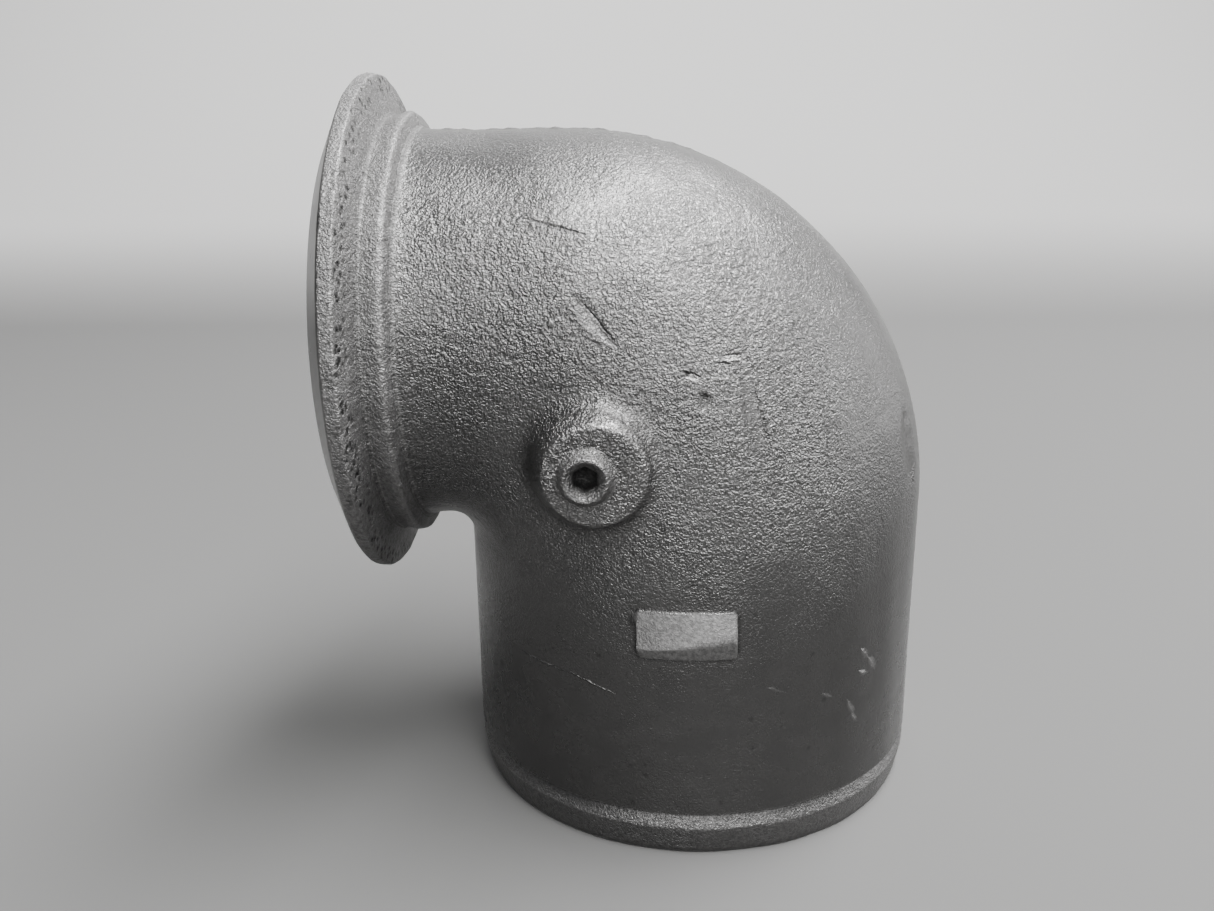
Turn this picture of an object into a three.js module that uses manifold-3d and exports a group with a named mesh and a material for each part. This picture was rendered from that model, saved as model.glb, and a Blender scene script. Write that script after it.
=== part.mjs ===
// Cast-iron flue elbow: a 90 degree reducing bend with a V-band flange on its
// horizontal leg, a plain spigot end on its vertical leg, a threaded sensor port
// on one side closed by a socket plug, and a blank raised pad for a part mark.
//
// Millimetres, +Z up. The spigot's end is on z = 0, the flange leg points to -X,
// and the port and the pad are on the -Y side. Every x below is measured from the
// vertical leg's axis. The last lines move the whole elbow along X, so that its
// origin is midway between the flange face and the back of the vertical leg.

import * as THREE from "three";
import { mergeVertices } from "three/addons/utils/BufferGeometryUtils.js";
import Module from "manifold-3d";

// ---------------------------------------------------------------- dimensions

// Vertical leg and spigot end
const SPIGOT_RADIUS = 50.8; // outside of the vertical leg, a 4 inch pipe size
const LAND_HEIGHT = 6.4; // tapered land at the very end
const LAND_TAPER = 1.4; // how much smaller the land's foot is in radius
const GROOVE_HEIGHT = 3.1; // turned groove above the land
const GROOVE_DEPTH = 0.8;

// Horizontal leg
const LEG_RADIUS = 41.8; // outside of the horizontal leg
const LEG_AXIS_Z = 102.0; // height of the horizontal axis above the spigot end
const FLANGE_FACE_X = -73.5; // flange face, measured from the vertical axis

// Bend
const OUTER_BEND_RADIUS = 78.6;
const INNER_BEND_RADIUS = 2.9;
const WALL = 5.2; // casting thickness, everywhere

// V-band flange, each width measured along the horizontal axis
const FLANGE_RADIUS = 53.4;
const FACE_CHAMFER_WIDTH = 4.2;
const FACE_CHAMFER_DEPTH = 8.6; // radial drop from the rim to the front face
const RIM_WIDTH = 2.8;
const CLAMP_SLOPE_WIDTH = 2.4;
const COLLAR_PROUD = 2.7; // collar above the leg, at the clamp slope
const COLLAR_RISE = 1.1; // extra height of the collar at its rear edge
const COLLAR_WIDTH = 4.8;
const REAR_STEP_WIDTH = 0.6;
const REAR_STEP_PROUD = 1.6; // height of the step above the leg
const REAR_FILLET_WIDTH = 4.9;

// Sensor port boss and its plug, both on an axis parallel to Y
const BOSS_RADIUS = 10.3;
const BOSS_FROM_INNER_LINE = 30.6; // boss axis from the vertical leg's inner line
const BOSS_BELOW_LEG_AXIS = 18.7;
const BOSS_X = BOSS_FROM_INNER_LINE - SPIGOT_RADIUS;
const BOSS_Z = LEG_AXIS_Z - BOSS_BELOW_LEG_AXIS;
const BOSS_PROUD = 1.8; // boss face beyond the vertical leg's outermost line
const BOSS_FILLET = 3.0;
const BOSS_FLARE = 2.5; // how much wider the root is, deep in the wall
const BOSS_EDGE_ROUND = 0.9;
const PORT_OFFSET_X = -1.6; // the port is drilled a little off the boss centre
const PLUG_RADIUS = 4.75;
const PLUG_CLEARANCE = 0.3;
const PLUG_LENGTH = 12.0;
const PLUG_PROUD = 2.8;
const PLUG_CHAMFER = 0.6;
const SOCKET_ACROSS_FLATS = 4.4;
const SOCKET_DEPTH = 5.5;
const SOCKET_COUNTERSINK_RADIUS = 3.3;
const SOCKET_COUNTERSINK_DEPTH = 1.1;

// Blank mark pad
const PAD_CENTRE_X = -2.6;
const PAD_WIDTH = 19.0;
const PAD_TOP_Z = 55.2;
const PAD_EDGE_Z = 48.0; // where the sloping face ends
const PAD_FOOT_Z = 45.6;
const PAD_PROUD = 2.4;

// Facets
const ROUND_FACETS = 64;
const BEND_STEPS = 14;

// ------------------------------------------------------------------- helpers

const wasm = await Module();
wasm.setup();

/** A closed three.js geometry as a manifold-3d solid. */
function solid(geometry) {
  const bare = geometry.index ? geometry.toNonIndexed() : geometry.clone();
  bare.deleteAttribute("normal");
  bare.deleteAttribute("uv");
  const merged = mergeVertices(bare, 1e-4);
  return new wasm.Manifold(
    new wasm.Mesh({
      numProp: 3,
      vertProperties: new Float32Array(merged.attributes.position.array),
      triVerts: new Uint32Array(merged.index.array),
    }),
  );
}

/** A manifold-3d solid as a flat-shaded three.js geometry. */
function geometryOf(body) {
  const mesh = body.getMesh();
  const indexed = new THREE.BufferGeometry();
  indexed.setAttribute("position", new THREE.BufferAttribute(mesh.vertProperties, 3));
  indexed.setIndex(new THREE.BufferAttribute(mesh.triVerts, 1));
  const flat = indexed.toNonIndexed();
  flat.computeVertexNormals();
  return flat;
}

/** A closed lathe about +Y from [radius, height] pairs that run upwards. */
function lathe(pairs, facets = ROUND_FACETS) {
  const points = pairs.map(([radius, height]) => new THREE.Vector2(radius, height));
  return new THREE.LatheGeometry(points, facets);
}

/** [radius, height] pairs of a quarter round from one pair to the other. */
function quarterRound(from, to, steps, convex) {
  const pairs = [];
  for (let i = 1; i < steps; i += 1) {
    const turn = (i / steps) * (Math.PI / 2);
    const early = convex ? Math.sin(turn) : 1 - Math.cos(turn);
    const late = convex ? 1 - Math.cos(turn) : Math.sin(turn);
    pairs.push([
      from[0] + (to[0] - from[0]) * late,
      from[1] + (to[1] - from[1]) * early,
    ]);
  }
  return pairs;
}

// -------------------------------------------------------------- bend stations

// The bend's sections stand on rays from the centre of the inner corner. A ray at
// angle 0 points up and cuts the horizontal leg, and one at 90 degrees points to
// +X and cuts the vertical leg.
const INNER_CENTRE = new THREE.Vector2(
  -SPIGOT_RADIUS - INNER_BEND_RADIUS,
  LEG_AXIS_Z - LEG_RADIUS - INNER_BEND_RADIUS,
);
const OUTER_CENTRE = new THREE.Vector2(
  SPIGOT_RADIUS - OUTER_BEND_RADIUS,
  LEG_AXIS_Z + LEG_RADIUS - OUTER_BEND_RADIUS,
);

/** Distance from the inner corner's centre to the bend's outer line. */
function outerReach(angle) {
  const across = Math.sin(angle);
  const up = Math.cos(angle);
  const toTop = (LEG_AXIS_Z + LEG_RADIUS - INNER_CENTRE.y) / Math.max(up, 1e-9);
  if (INNER_CENTRE.x + toTop * across <= OUTER_CENTRE.x) return toTop;
  const toSide = (SPIGOT_RADIUS - INNER_CENTRE.x) / Math.max(across, 1e-9);
  if (INNER_CENTRE.y + toSide * up <= OUTER_CENTRE.y) return toSide;
  const dx = INNER_CENTRE.x - OUTER_CENTRE.x;
  const dz = INNER_CENTRE.y - OUTER_CENTRE.y;
  const along = dx * across + dz * up;
  const rest = dx * dx + dz * dz - OUTER_BEND_RADIUS * OUTER_BEND_RADIUS;
  return -along + Math.sqrt(along * along - rest);
}

/** One elliptical section of the bend, shrunk on all sides by an inset. */
function bendStation(angle, inset) {
  const share = angle / (Math.PI / 2);
  const blend = share * share * (3 - 2 * share);
  const near = INNER_BEND_RADIUS + inset;
  const far = outerReach(angle) - inset;
  const middle = (near + far) / 2;
  return {
    x: INNER_CENTRE.x + Math.sin(angle) * middle,
    z: INNER_CENTRE.y + Math.cos(angle) * middle,
    dirX: Math.sin(angle),
    dirZ: Math.cos(angle),
    inPlane: (far - near) / 2,
    across: LEG_RADIUS + (SPIGOT_RADIUS - LEG_RADIUS) * blend - inset,
  };
}

/** How far the bend's outside stands out along -Y at one point of its side. */
function sideDepth(x, z) {
  const dx = x - INNER_CENTRE.x;
  const dz = z - INNER_CENTRE.y;
  const station = bendStation(Math.atan2(dx, dz), 0);
  const middle = Math.hypot(station.x - INNER_CENTRE.x, station.z - INNER_CENTRE.y);
  const share = (Math.hypot(dx, dz) - middle) / station.inPlane;
  return station.across * Math.sqrt(1 - share * share);
}

/** All sections from the flange end to the spigot end for one inset. */
function ductStations(inset, startX, endZ) {
  const stations = [{ ...bendStation(0, inset), x: startX }];
  for (let i = 0; i <= BEND_STEPS; i += 1) {
    stations.push(bendStation((i / BEND_STEPS) * (Math.PI / 2), inset));
  }
  stations.push({ ...bendStation(Math.PI / 2, inset), z: endZ });
  return stations;
}

/** A capped cylinder whose rows are moved onto the given elliptical sections. */
function ductGeometry(stations) {
  const rows = stations.length - 1;
  const duct = new THREE.CylinderGeometry(1, 1, 1, ROUND_FACETS, rows);
  const position = duct.attributes.position;
  for (let i = 0; i < position.count; i += 1) {
    const row = Math.round((0.5 - position.getY(i)) * rows);
    const station = stations[row];
    const reach = position.getX(i) * station.inPlane;
    position.setXYZ(
      i,
      station.x + station.dirX * reach,
      -position.getZ(i) * station.across,
      station.z + station.dirZ * reach,
    );
  }
  return duct;
}

// --------------------------------------------------------------- elbow casting

/** Solid vertical end: groove, tapered land and the leg above them. */
function spigotEnd() {
  const grooveTop = LAND_HEIGHT + GROOVE_HEIGHT;
  const profile = [
    [0, 0],
    [SPIGOT_RADIUS - LAND_TAPER, 0],
    [SPIGOT_RADIUS - 0.2, LAND_HEIGHT],
    [SPIGOT_RADIUS - GROOVE_DEPTH, grooveTop - 0.5],
    [SPIGOT_RADIUS, grooveTop],
    [SPIGOT_RADIUS, grooveTop + 8],
    [0, grooveTop + 8],
  ];
  return solid(lathe(profile).rotateX(Math.PI / 2));
}

/** Solid V-band flange with its collar and rear fillet, facing -X. */
function flangeEnd() {
  const rimFront = FACE_CHAMFER_WIDTH;
  const rimRear = rimFront + RIM_WIDTH;
  const slopeEnd = rimRear + CLAMP_SLOPE_WIDTH;
  const collarEnd = slopeEnd + COLLAR_WIDTH;
  const stepEnd = collarEnd + REAR_STEP_WIDTH;
  const stepFoot = [LEG_RADIUS + REAR_STEP_PROUD, stepEnd];
  const filletEnd = [LEG_RADIUS, stepEnd + REAR_FILLET_WIDTH];
  const profile = [
    [0, 0],
    [FLANGE_RADIUS - FACE_CHAMFER_DEPTH, 0],
    [FLANGE_RADIUS, rimFront],
    [FLANGE_RADIUS, rimRear],
    [LEG_RADIUS + COLLAR_PROUD, slopeEnd],
    [LEG_RADIUS + COLLAR_PROUD + COLLAR_RISE, collarEnd],
    stepFoot,
    ...quarterRound(stepFoot, filletEnd, 4, false),
    filletEnd,
    [0, filletEnd[1]],
  ];
  const turned = lathe(profile).rotateZ(-Math.PI / 2);
  return solid(turned.translate(FLANGE_FACE_X, 0, LEG_AXIS_Z));
}

/** Port boss on the -Y side, with a flared root and a rounded edge. */
function portBoss() {
  const face = SPIGOT_RADIUS + BOSS_PROUD;
  const root = sideDepth(BOSS_X, BOSS_Z) + 0.5;
  const foot = root - 2 * BOSS_FLARE;
  const filletTop = [BOSS_RADIUS, root + BOSS_FILLET];
  const filletFoot = [BOSS_RADIUS + BOSS_FILLET, root];
  const edgeStart = [BOSS_RADIUS, face - BOSS_EDGE_ROUND];
  const edgeEnd = [BOSS_RADIUS - BOSS_EDGE_ROUND, face];
  const profile = [
    [0, foot],
    [BOSS_RADIUS + BOSS_FILLET + BOSS_FLARE, foot],
    filletFoot,
    ...quarterRound(filletFoot, filletTop, 4, false).map(([radius, height]) => [
      filletFoot[0] + filletTop[0] - radius,
      height,
    ]),
    filletTop,
    edgeStart,
    ...quarterRound(edgeStart, edgeEnd, 3, true),
    edgeEnd,
    [0, face],
  ];
  const turned = lathe(profile, 40).rotateX(Math.PI);
  return solid(turned.translate(BOSS_X, 0, BOSS_Z));
}

/** Blank pad: a short piece of a tapered ring around the vertical leg. */
function markPad() {
  const inside = SPIGOT_RADIUS - WALL / 2;
  const profile = [
    [inside, PAD_FOOT_Z],
    [SPIGOT_RADIUS + PAD_PROUD - 0.4, PAD_FOOT_Z],
    [SPIGOT_RADIUS + PAD_PROUD, PAD_EDGE_Z],
    [SPIGOT_RADIUS + 0.05, PAD_TOP_Z],
    [inside, PAD_TOP_Z],
    [inside, PAD_FOOT_Z],
  ];
  const ring = solid(lathe(profile, 3 * ROUND_FACETS).rotateX(Math.PI / 2));
  const height = PAD_TOP_Z - PAD_FOOT_Z + 4;
  const depth = SPIGOT_RADIUS + PAD_PROUD + 4;
  const window = new THREE.BoxGeometry(PAD_WIDTH, depth, height);
  window.translate(PAD_CENTRE_X, -depth / 2, (PAD_TOP_Z + PAD_FOOT_Z) / 2);
  return ring.intersect(solid(window));
}

/** Drilled hole for the plug, from outside the boss into the duct. */
function portHole() {
  const start = SPIGOT_RADIUS + BOSS_PROUD + 3;
  const end = sideDepth(BOSS_X, BOSS_Z) - WALL - 3;
  const drill = new THREE.CylinderGeometry(
    PLUG_RADIUS + PLUG_CLEARANCE,
    PLUG_RADIUS + PLUG_CLEARANCE,
    start - end,
    32,
  );
  drill.translate(BOSS_X + PORT_OFFSET_X, -(start + end) / 2, BOSS_Z);
  return solid(drill);
}

/** The whole casting: outer form joined up, then bored through. */
function elbowCasting() {
  const legStart = FLANGE_FACE_X + FACE_CHAMFER_WIDTH;
  const grooveTop = LAND_HEIGHT + GROOVE_HEIGHT;
  const outer = solid(ductGeometry(ductStations(0, legStart, grooveTop + 3)))
    .add(flangeEnd())
    .add(spigotEnd())
    .add(portBoss())
    .add(markPad());
  const bore = solid(ductGeometry(ductStations(WALL, FLANGE_FACE_X - 5, -5)));
  const body = outer.subtract(bore).subtract(portHole());
  const iron = new THREE.MeshStandardMaterial({
    color: 0x77777a,
    roughness: 0.5,
    metalness: 0.75,
  });
  const mesh = new THREE.Mesh(geometryOf(body), iron);
  mesh.name = "elbow_casting";
  return mesh;
}

// ------------------------------------------------------------------ port plug

/** Socket plug along +Y from its inner end, as [radius, height] pairs. */
function plugBlank() {
  const rim = SOCKET_COUNTERSINK_RADIUS;
  const floor = PLUG_LENGTH - SOCKET_COUNTERSINK_DEPTH;
  const profile = [
    [0, 0],
    [PLUG_RADIUS - PLUG_CHAMFER, 0],
    [PLUG_RADIUS, PLUG_CHAMFER],
    [PLUG_RADIUS, PLUG_LENGTH - PLUG_CHAMFER],
    [PLUG_RADIUS - PLUG_CHAMFER, PLUG_LENGTH],
    [rim, PLUG_LENGTH],
    [SOCKET_ACROSS_FLATS / 2, floor],
    [0, floor],
  ];
  return solid(lathe(profile, 36));
}

/** Hexagonal socket, sunk from the plug's outer face. */
function plugSocket() {
  const corner = SOCKET_ACROSS_FLATS / Math.sqrt(3);
  const hexagon = new THREE.CylinderGeometry(corner, corner, SOCKET_DEPTH, 6);
  hexagon.translate(0, PLUG_LENGTH - SOCKET_DEPTH / 2, 0);
  return solid(hexagon);
}

/** The plug in its port, standing a little proud of the boss face. */
function portPlug() {
  const steel = new THREE.MeshStandardMaterial({
    color: 0x808083,
    roughness: 0.45,
    metalness: 0.8,
  });
  const body = plugBlank().subtract(plugSocket());
  const mesh = new THREE.Mesh(geometryOf(body), steel);
  const outerEnd = SPIGOT_RADIUS + BOSS_PROUD + PLUG_PROUD;
  mesh.name = "port_plug";
  mesh.position.set(BOSS_X + PORT_OFFSET_X, -(outerEnd - PLUG_LENGTH), BOSS_Z);
  mesh.rotation.x = Math.PI;
  return mesh;
}

// --------------------------------------------------------------------- group

const elbow = new THREE.Group();
elbow.position.x = -(FLANGE_FACE_X + SPIGOT_RADIUS) / 2;
elbow.add(elbowCasting());
elbow.add(portPlug());

export default elbow;
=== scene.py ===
import math

import bpy
import numpy as np
from mathutils import Matrix, Vector


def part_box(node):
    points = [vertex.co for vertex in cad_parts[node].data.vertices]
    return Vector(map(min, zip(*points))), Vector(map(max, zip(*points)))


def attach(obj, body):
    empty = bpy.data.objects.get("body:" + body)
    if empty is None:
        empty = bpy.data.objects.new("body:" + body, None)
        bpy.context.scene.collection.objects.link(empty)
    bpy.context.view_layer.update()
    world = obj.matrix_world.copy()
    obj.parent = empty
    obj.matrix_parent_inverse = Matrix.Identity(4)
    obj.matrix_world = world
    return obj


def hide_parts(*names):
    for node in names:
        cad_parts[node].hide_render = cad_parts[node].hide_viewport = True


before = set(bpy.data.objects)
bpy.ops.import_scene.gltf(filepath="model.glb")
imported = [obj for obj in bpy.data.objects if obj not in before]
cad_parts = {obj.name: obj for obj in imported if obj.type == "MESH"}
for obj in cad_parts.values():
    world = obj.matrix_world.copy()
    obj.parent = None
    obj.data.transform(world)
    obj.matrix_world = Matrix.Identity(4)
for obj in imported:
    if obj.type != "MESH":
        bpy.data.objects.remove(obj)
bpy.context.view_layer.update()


# ---------------------------------------------------------------- elbow casting
# One sand casting in grey iron, coated silver grey: a reducing bend with a V-band
# flange, a grooved spigot end, a round port boss and a blank pad. Its flange face
# and end face are turned, and the port is drilled through the boss. Sizes in mm.

MM = 0.001
casting_low, casting_high = (np.array(corner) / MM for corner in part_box("elbow_casting"))

SPIGOT_RADIUS = 50.8
LEG_RADIUS = 41.8
WALL = 5.2
OUTER_BEND_RADIUS = 78.6
INNER_BEND_RADIUS = 2.9
FLANGE_RADIUS = 53.4
FACE_X = casting_low[0]
AXIS_X = casting_high[0] - SPIGOT_RADIUS
LEG_AXIS_Z = casting_high[2] - FLANGE_RADIUS

INNER_X = AXIS_X - SPIGOT_RADIUS - INNER_BEND_RADIUS
INNER_Z = LEG_AXIS_Z - LEG_RADIUS - INNER_BEND_RADIUS
OUTER_X = AXIS_X + SPIGOT_RADIUS - OUTER_BEND_RADIUS
OUTER_Z = LEG_AXIS_Z + LEG_RADIUS - OUTER_BEND_RADIUS


def smooth_step(value, start, end):
    """0 before start, 1 after end, and 3t^2 - 2t^3 between them."""
    share = np.clip((value - start) / (end - start), 0.0, 1.0)
    return share * share * (3.0 - 2.0 * share)


def bump_at(value, centre, half_width):
    """A bell: e to the power of minus the squared distance over the squared half width."""
    return np.exp(-(((value - centre) / half_width) ** 2))


def outer_reach(angle):
    """Distance from the inner corner's centre along a ray to the bend's outer line.

    The outer line is a straight top, then a circle round the outer centre, then a
    straight side. The ray at angle 0 points up, and at 90 degrees along +X.
    """
    across, up = np.sin(angle), np.cos(angle)
    to_top = (LEG_AXIS_Z + LEG_RADIUS - INNER_Z) / np.maximum(up, 1e-9)
    to_side = (AXIS_X + SPIGOT_RADIUS - INNER_X) / np.maximum(across, 1e-9)
    dx, dz = INNER_X - OUTER_X, INNER_Z - OUTER_Z
    along = dx * across + dz * up
    rest = dx * dx + dz * dz - OUTER_BEND_RADIUS**2
    to_arc = -along + np.sqrt(np.maximum(along * along - rest, 0.0))
    on_side = INNER_Z + to_side * up <= OUTER_Z
    on_top = INNER_X + to_top * across <= OUTER_X
    return np.where(on_top, to_top, np.where(on_side, to_side, to_arc))


def bend_section(angle, inset):
    """The duct's elliptical section on one ray: its middle, and its half sizes.

    The half size in the plane is half the way from the inner round to the outer
    line. The half size across it eases from the small leg to the large one.
    """
    near = INNER_BEND_RADIUS + inset
    far = outer_reach(angle) - inset
    ease = smooth_step(angle, 0.0, math.pi / 2)
    across = LEG_RADIUS + (SPIGOT_RADIUS - LEG_RADIUS) * ease - inset
    return (near + far) / 2, (far - near) / 2, across


def side_depth(x, z):
    """How far the plain duct stands out along -Y over a point (x, z) of its side.

    Each section is an ellipse, so it is the half size across times the root of one
    less the squared share of the half size in the plane.
    """
    dx, dz = x - INNER_X, z - INNER_Z
    angle = np.clip(np.arctan2(dx, dz), 0.0, math.pi / 2)
    middle, in_plane, across = bend_section(angle, 0.0)
    share = (np.hypot(dx, dz) - middle) / in_plane
    bend = across * np.sqrt(np.clip(1.0 - share * share, 0.0, 1.0))
    upright = np.sqrt(np.maximum(SPIGOT_RADIUS**2 - (x - AXIS_X) ** 2, 0.0))
    level = np.sqrt(np.maximum(LEG_RADIUS**2 - (z - LEG_AXIS_Z) ** 2, 0.0))
    return np.where(z < INNER_Z, upright, np.where(x < INNER_X, level, bend))


def rounded_profile(corners, cuts, spacing):
    """A polyline with its corners rounded, and filled so that its gaps are small.

    Each corner is cut back along both its sides by its pair of cuts and bridged by
    the parabola whose control point is the corner.
    """
    corners = np.array(corners, float)
    before, here, after = corners[:-2], corners[1:-1], corners[2:]
    cuts = np.array(cuts, float)
    back, ahead = before - here, after - here
    start = here + back / np.linalg.norm(back, axis=1)[:, None] * cuts[:, :1]
    end = here + ahead / np.linalg.norm(ahead, axis=1)[:, None] * cuts[:, 1:]
    t = np.linspace(0.0, 1.0, CORNER_POINTS)[None, :, None]
    arcs = (1 - t) ** 2 * start[:, None] + 2 * t * (1 - t) * here[:, None] + t**2 * end[:, None]
    line = np.vstack([corners[:1], arcs.reshape(-1, 2), corners[-1:]])
    length = np.concatenate([[0.0], np.cumsum(np.linalg.norm(np.diff(line, axis=0), axis=1))])
    filled = np.concatenate([length, np.arange(0.0, length[-1], spacing)])
    stations = np.unique(np.round(filled, 2))
    stations = stations[np.concatenate([[True], np.diff(stations) > CLOSEST])]
    return np.stack([np.interp(stations, length, line[:, k]) for k in (0, 1)], axis=1)


def spaced_by(density, start, end, count):
    """Values from start to end whose spacing is inversely proportional to a density."""
    fine = np.linspace(start, end, 20001)
    weight = density(fine)
    total = np.concatenate([[0.0], np.cumsum((weight[1:] + weight[:-1]) / 2)])
    return np.interp(np.linspace(0.0, total[-1], count), total, fine)


# Outside of the flange, as (distance from the face, radius), from the bore's edge
# over the turned cone, the rim, the clamp slope, the collar and its step.
FLANGE_CORNERS = [
    (0.0, LEG_RADIUS - WALL + 0.6),
    (0.0, 44.8),
    (4.2, 53.4),
    (7.0, 53.4),
    (9.2, 44.6),
    (14.0, 45.9),
    (14.8, 43.3),
    (15.1, 41.85),
    (INNER_X - FACE_X, 41.8),
]
FLANGE_CUTS = [(0.5, 0.5), (0.7, 0.6), (0.5, 0.4), (1.3, 1.6), (1.6, 0.9), (0.3, 0.3), (1.1, 4.2)]

# Outside of the spigot end, as (height, radius): groove flare, land and end edge.
SPIGOT_CORNERS = [
    (11.0, SPIGOT_RADIUS),
    (9.7, SPIGOT_RADIUS),
    (9.3, SPIGOT_RADIUS - 1.5),
    (6.3, SPIGOT_RADIUS - 0.05),
    (0.0, SPIGOT_RADIUS - 1.4),
    (0.0, SPIGOT_RADIUS - WALL),
]
SPIGOT_CUTS = [(0.3, 0.3), (0.3, 0.3), (0.3, 0.6), (0.5, 0.5)]

# The grid of the casting: its columns, its rows on the bend, the leg and the bore, and
# on the two ends the gaps between rows, the smallest gap and the points at a corner.
COLUMNS = 312
BEND_ROWS = 116
LEG_ROWS = 58
BORE_ROWS = 20
FLANGE_SPACING = 0.9
SPIGOT_SPACING = 0.7
CLOSEST = 0.12
CORNER_POINTS = 5
PAD_EDGES_Z = (45.6, 48.3, 55.2)


def near_side_density(angle):
    """Columns stand closest on the boss side and along the mould's parting line."""
    side = 1.1 * bump_at(angle, -math.pi / 2, 0.8)
    return 0.55 + side + 1.6 * bump_at(angle, 0.0, 0.03)


def pad_density(z):
    """Rows on the upright leg stand closest at the pad's three edges."""
    return 0.8 + sum(2.6 * bump_at(z, edge, 0.7) for edge in PAD_EDGES_Z)


def stack_rows(*blocks):
    """Blocks of rows, each row being centre x, centre z, ray angle and half sizes."""
    return np.vstack([np.stack(np.broadcast_arrays(*block), axis=1) for block in blocks])


def bend_rows(angles, inset):
    """Rows of the bend at these ray angles, for one inset from the outside."""
    middle, in_plane, across = bend_section(angles, inset)
    x = INNER_X + np.sin(angles) * middle
    z = INNER_Z + np.cos(angles) * middle
    return x, z, angles, in_plane, across


flange_line = rounded_profile(FLANGE_CORNERS, FLANGE_CUTS, FLANGE_SPACING)
spigot_line = rounded_profile(SPIGOT_CORNERS, SPIGOT_CUTS, SPIGOT_SPACING)
bend_angles = np.linspace(0.0, math.pi / 2, BEND_ROWS)
leg_heights = spaced_by(pad_density, INNER_Z, SPIGOT_CORNERS[0][0], LEG_ROWS + 1)[1:-1]
bore_angles = np.linspace(math.pi / 2, 0.0, BORE_ROWS)
bore_heights = np.array([1.0, 14.0, 28.0, 42.0])
QUARTER = math.pi / 2
BORE_RADIUS = SPIGOT_RADIUS - WALL
LEG_BORE_RADIUS = LEG_RADIUS - WALL

# Rows all round the wall: out over the flange, the bend, the leg and the spigot end,
# then back inside through the bore.
rows = stack_rows(
    (FACE_X + flange_line[:-1, 0], LEG_AXIS_Z, 0.0, flange_line[:-1, 1], flange_line[:-1, 1]),
    bend_rows(bend_angles, 0.0),
    (AXIS_X, leg_heights, QUARTER, SPIGOT_RADIUS, SPIGOT_RADIUS),
    (AXIS_X, spigot_line[:, 0], QUARTER, spigot_line[:, 1], spigot_line[:, 1]),
    (AXIS_X, bore_heights, QUARTER, BORE_RADIUS, BORE_RADIUS),
    bend_rows(bore_angles, WALL),
    (
        np.array([INNER_X - 9.0, FACE_X + 5.0, FACE_X + 0.7]),
        LEG_AXIS_Z,
        0.0,
        LEG_BORE_RADIUS,
        LEG_BORE_RADIUS,
    ),
)
flange_count = len(flange_line) - 1
CONE_WIDTH = FLANGE_CORNERS[2][0]
land_row = int(np.argmax(flange_line[:, 0] > CONE_WIDTH + 0.2))
outer_count = flange_count + BEND_ROWS + len(leg_heights) + len(spigot_line) - 2

around = spaced_by(near_side_density, -math.pi, math.pi, COLUMNS + 1)[:-1][None, :]
centre_x, centre_z, ray, in_plane, across = (rows[:, k][:, None] for k in range(5))
x = centre_x + np.sin(ray) * in_plane * np.cos(around)
y = across * np.sin(around)
z = centre_z + np.cos(ray) * in_plane * np.cos(around)
is_outer = (np.arange(len(rows)) < outer_count)[:, None]
NEAR_SIDE_Y = -8.0
near_side = is_outer & (y < NEAR_SIDE_Y)

# Boss, from the axis of the upright leg and the spigot end. Its form is drawn from the
# disc of surface within the field's radius, and the zones are radii that part the disc.
BOSS_X = AXIS_X - 20.2
BOSS_Z = 83.3
BOSS_RADIUS = 10.3
BOSS_FACE = SPIGOT_RADIUS + 1.8
BOSS_EDGE = 1.1
BOSS_DRAFT = 0.34
BOSS_FILLET = 3.8
BOSS_FIELD = 19.5
BOSS_ZONES = (7.0, 9.2, 11.4, 15.4)


def boss_place(x, z):
    """Moves the points within the boss's field on to its face, edge, wall and root.

    The distance from the boss's axis is cut into zones. Inside the first is the flat
    face, then a quarter round, a wall with draft, a quarter fillet that ends on the
    duct's own surface, and the duct's surface again. Returns x, depth, z and the
    distance from the axis as a share of the field.
    """
    dx, dz = x - BOSS_X, z - BOSS_Z
    away = np.hypot(dx, dz)
    face, edge, wall, root = BOSS_ZONES
    on_edge = np.clip((away - face) / (edge - face), 0.0, 1.0) * QUARTER
    on_wall = np.clip((away - edge) / (wall - edge), 0.0, 1.0)
    on_root = np.clip((away - wall) / (root - wall), 0.0, 1.0) * QUARTER
    radius = np.where(away < face, away * (BOSS_RADIUS - BOSS_EDGE) / face, 0.0)
    radius = np.where(away >= face, BOSS_RADIUS - BOSS_EDGE * (1 - np.sin(on_edge)), radius)
    reach = (BOSS_RADIUS + BOSS_FILLET) / np.maximum(away, 1e-6)
    wall_height = BOSS_FACE - side_depth(BOSS_X + dx * reach, BOSS_Z + dz * reach) - BOSS_FILLET
    draft = BOSS_DRAFT * np.clip(wall_height, 0.5, 8.0)
    radius = radius + draft * on_wall + BOSS_FILLET * (1 - np.cos(on_root))
    foot = BOSS_RADIUS + draft + BOSS_FILLET
    beyond = np.clip((away - root) / (BOSS_FIELD - root), 0.0, 1.0)
    radius = np.where(away >= root, foot + (BOSS_FIELD - foot) * beyond, radius)
    scale = np.where(away > 1e-6, radius / np.maximum(away, 1e-6), 1.0)
    new_x, new_z = BOSS_X + dx * scale, BOSS_Z + dz * scale
    ground = side_depth(new_x, new_z)
    edge_foot = BOSS_FACE - BOSS_EDGE
    lift = np.clip(edge_foot - ground - 0.1, 0.2, BOSS_FILLET)
    wall_foot = ground + lift
    depth = np.where(away < edge, BOSS_FACE - BOSS_EDGE * (1 - np.cos(on_edge)), 0.0)
    depth = np.where(away >= edge, edge_foot + (wall_foot - edge_foot) * on_wall, depth)
    depth = np.where(away >= wall, wall_foot - lift * np.sin(on_root), depth)
    return new_x, depth, new_z, away / BOSS_FIELD


boss_x, boss_depth, boss_z, boss_share = boss_place(x, z)
in_boss = near_side & (boss_share < 1.0)
x = np.where(in_boss, boss_x, x)
z = np.where(in_boss, boss_z, z)
y = np.where(in_boss, -boss_depth, y)

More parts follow.
